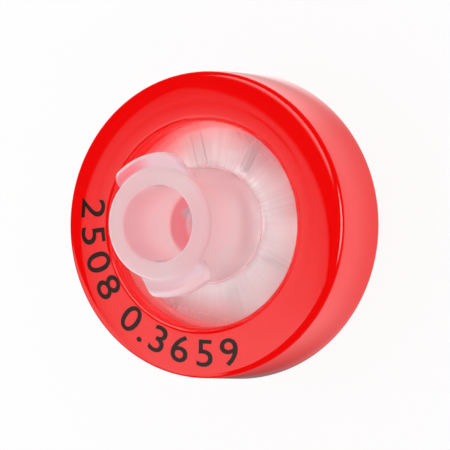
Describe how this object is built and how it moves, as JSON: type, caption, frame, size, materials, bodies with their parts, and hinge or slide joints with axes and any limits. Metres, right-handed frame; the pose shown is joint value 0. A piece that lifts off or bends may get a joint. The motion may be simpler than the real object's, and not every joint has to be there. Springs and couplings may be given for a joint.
{
  "type": "syringe filter",
  "caption": "Disc syringe filter: female luer-lock inlet hub on a pale recessed window, wide red moulded ring, male luer-slip outlet.",
  "frame": {"origin": "centre of the outlet tip's end face, on the flow axis", "axes": "+Z along the flow axis from the outlet tip towards the inlet mouth, +Y towards the lug that starts at 141 degrees from +X"},
  "size_m": [0.0176, 0.0176, 0.0184],
  "materials": {
    "natural_plastic": "milky translucent polypropylene, smooth, light gloss",
    "red_plastic": "bright red polypropylene, high gloss, slightly translucent",
    "membrane": "matt white porous PTFE film",
    "ink": "thin black pad-printed ink"
  },
  "bodies": {
    "root": {"inlet_half": "natural_plastic", "outlet_half": "natural_plastic", "membrane": "membrane", "colour_ring": "red_plastic"}
  },
  "joints": []
}
